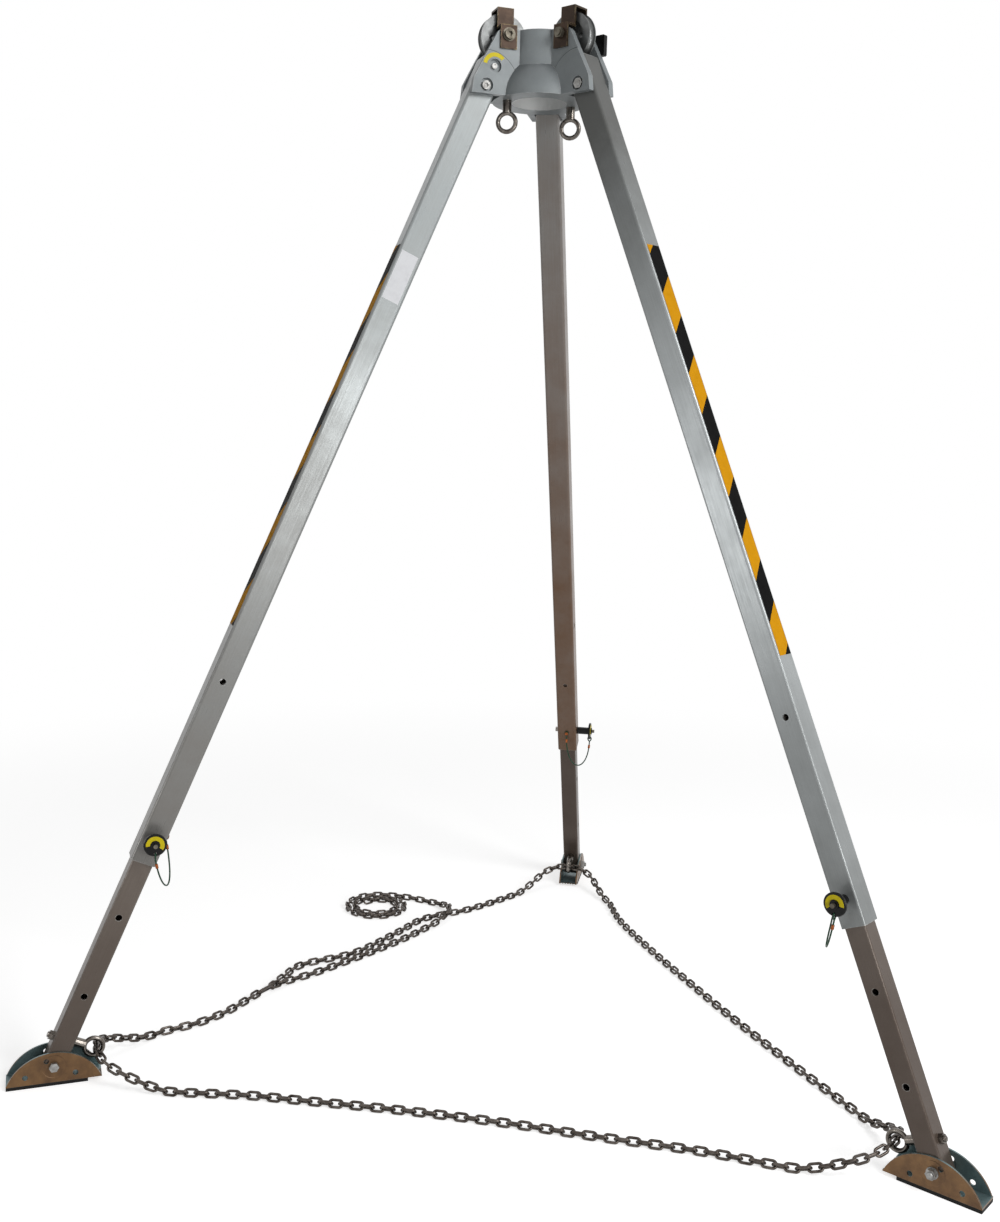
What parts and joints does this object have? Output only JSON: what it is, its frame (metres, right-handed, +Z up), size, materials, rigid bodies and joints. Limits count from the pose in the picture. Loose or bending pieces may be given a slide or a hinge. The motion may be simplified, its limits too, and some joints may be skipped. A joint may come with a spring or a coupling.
{
  "type": "rescue tripod",
  "caption": "Free-standing rescue tripod with a cast head, rope pulleys, telescopic square legs locked by pins, swivelling toothed feet and a floor chain.",
  "frame": {"origin": "on the floor, straight under the centre of the head, on the head's vertical axis", "axes": "+Z up, back leg towards +Y, left leg towards -X -Y, right leg towards +X -Y"},
  "size_m": [1.762, 1.5259, 2.0075],
  "materials": {
    "head_paint": "satin silver-grey paint",
    "tube": "brushed, anodised",
    "steel": "polished",
    "zinc": "yellow zinc plate",
    "chain": "bright zinc plate",
    "black_plastic": "matte",
    "rubber": "matte",
    "label": "gloss film",
    "pale_label": "gloss film",
    "tape": "gloss film",
    "coated_wire": "gloss coating",
    "copper": "crimped"
  },
  "bodies": {
    "head": {"head_casting": "head_paint", "leg_pivot_bolts": "steel", "pulley_axles": "steel", "rope_keepers": "zinc", "head_eyebolts": "steel", "cable_guide": "black_plastic", "release_labels": "label", "chain_front": "chain", "chain_right": "chain", "chain_left": "chain", "chain_floor": "chain", "chain_tail": "chain", "chain_hook": "chain"},
    "leg_left": {"outer_tube_left": "tube", "hazard_tape_left": "tape", "lanyard_left": "coated_wire", "lanyard_crimps_left": "copper", "blank_label_left": "pale_label"},
    "inner_left": {"inner_tube_left": "tube", "leg_eyebolt_left": "steel", "foot_bolt_left": "zinc"},
    "foot_left": {"foot_channel_left": "zinc", "foot_pad_left": "rubber"},
    "pin_left": {"lock_pin_left": "steel", "pin_knob_left": "black_plastic", "pin_label_left": "label"},
    "pin_push_left": {"pin_button_left": "steel"},
    "release_left": {"release_button_left": "steel"},
    "leg_right": {"outer_tube_right": "tube", "hazard_tape_right": "tape", "lanyard_right": "coated_wire", "lanyard_crimps_right": "copper"},
    "inner_right": {"inner_tube_right": "tube", "leg_eyebolt_right": "steel", "foot_bolt_right": "zinc"},
    "foot_right": {"foot_channel_right": "zinc", "foot_pad_right": "rubber"},
    "pin_right": {"lock_pin_right": "steel", "pin_knob_right": "black_plastic", "pin_label_right": "label"},
    "pin_push_right": {"pin_button_right": "steel"},
    "release_right": {"release_button_right": "steel"},
    "leg_back": {"outer_tube_back": "tube", "hazard_tape_back": "tape", "lanyard_back": "coated_wire", "lanyard_crimps_back": "copper"},
    "inner_back": {"inner_tube_back": "tube", "leg_eyebolt_back": "steel", "foot_bolt_back": "zinc"},
    "foot_back": {"foot_channel_back": "zinc", "foot_pad_back": "rubber"},
    "pin_back": {"lock_pin_back": "steel", "pin_knob_back": "black_plastic", "pin_label_back": "label"},
    "pin_push_back": {"pin_button_back": "steel"},
    "release_back": {"release_button_back": "steel"},
    "pulley_left": {"pulley_left": "steel"},
    "pulley_right": {"pulley_right": "steel"}
  },
  "joints": [
    {"name": "leg_fold_left", "type": "hinge", "parent": "head", "child": "leg_left", "pos_m": [-0.10306, -0.0595, 1.86156], "axis": [0.5, -0.866, 0], "range_deg": [0, 23.6], "deforming": ["chain_front", "chain_left"]},
    {"name": "leg_slide_left", "type": "slide", "parent": "leg_left", "child": "inner_left", "axis": [-0.3475, -0.2007, -0.9159], "range_m": [-0.32, 0.64], "deforming": ["chain_front", "chain_left"]},
    {"name": "foot_tip_left", "type": "hinge", "parent": "inner_left", "child": "foot_left", "pos_m": [-0.79536, -0.4592, 0.037], "axis": [0.5, -0.866, 0], "range_deg": [-35, 10]},
    {"name": "pin_draw_left", "type": "slide", "parent": "leg_left", "child": "pin_left", "axis": [0.5, -0.866, 0], "range_m": [0, 0.075], "deforming": ["lanyard_left"]},
    {"name": "pin_push_left", "type": "slide", "parent": "pin_left", "child": "pin_push_left", "axis": [-0.5, 0.866, 0], "range_m": [0, 0.003], "stiffness_N_per_m": 400},
    {"name": "release_push_left", "type": "slide", "parent": "head", "child": "release_left", "axis": [-0.5, 0.866, 0], "range_m": [0, 0.004], "stiffness_N_per_m": 400},
    {"name": "leg_fold_right", "type": "hinge", "parent": "head", "child": "leg_right", "pos_m": [0.10306, -0.0595, 1.86156], "axis": [0.5, 0.866, 0], "range_deg": [0, 23.6], "deforming": ["chain_front", "chain_right"]},
    {"name": "leg_slide_right", "type": "slide", "parent": "leg_right", "child": "inner_right", "axis": [0.3475, -0.2007, -0.9159], "range_m": [-0.32, 0.64], "deforming": ["chain_front", "chain_right"]},
    {"name": "foot_tip_right", "type": "hinge", "parent": "inner_right", "child": "foot_right", "pos_m": [0.79536, -0.4592, 0.037], "axis": [0.5, 0.866, 0], "range_deg": [-35, 10]},
    {"name": "pin_draw_right", "type": "slide", "parent": "leg_right", "child": "pin_right", "axis": [-0.5, -0.866, 0], "range_m": [0, 0.075], "deforming": ["lanyard_right"]},
    {"name": "pin_push_right", "type": "slide", "parent": "pin_right", "child": "pin_push_right", "axis": [0.5, 0.866, 0], "range_m": [0, 0.003], "stiffness_N_per_m": 400},
    {"name": "release_push_right", "type": "slide", "parent": "head", "child": "release_right", "axis": [-0.5, -0.866, 0], "range_m": [0, 0.004], "stiffness_N_per_m": 400},
    {"name": "leg_fold_back", "type": "hinge", "parent": "head", "child": "leg_back", "pos_m": [0, 0.119, 1.86156], "axis": [-1, 0, 0], "range_deg": [0, 23.6], "deforming": ["chain_right", "chain_left"]},
    {"name": "leg_slide_back", "type": "slide", "parent": "leg_back", "child": "inner_back", "axis": [0, 0.4013, -0.9159], "range_m": [-0.32, 0.64], "deforming": ["chain_right", "chain_left"]},
    {"name": "foot_tip_back", "type": "hinge", "parent": "inner_back", "child": "foot_back", "pos_m": [0, 0.91841, 0.037], "axis": [-1, 0, 0], "range_deg": [-35, 10]},
    {"name": "pin_draw_back", "type": "slide", "parent": "leg_back", "child": "pin_back", "axis": [1, 0, 0], "range_m": [0, 0.075], "deforming": ["lanyard_back"]},
    {"name": "pin_push_back", "type": "slide", "parent": "pin_back", "child": "pin_push_back", "axis": [-1, 0, 0], "range_m": [0, 0.003], "stiffness_N_per_m": 400},
    {"name": "release_push_back", "type": "slide", "parent": "head", "child": "release_back", "axis": [1, 0, 0], "range_m": [0, 0.004], "stiffness_N_per_m": 400},
    {"name": "pulley_turn_left", "type": "hinge", "parent": "head", "child": "pulley_left", "pos_m": [-0.06778, -0.03913, 1.95453], "axis": [0.5, -0.866, 0], "continuous": true},
    {"name": "pulley_turn_right", "type": "hinge", "parent": "head", "child": "pulley_right", "pos_m": [0.06778, -0.03913, 1.95453], "axis": [0.5, 0.866, 0], "continuous": true}
  ]
}
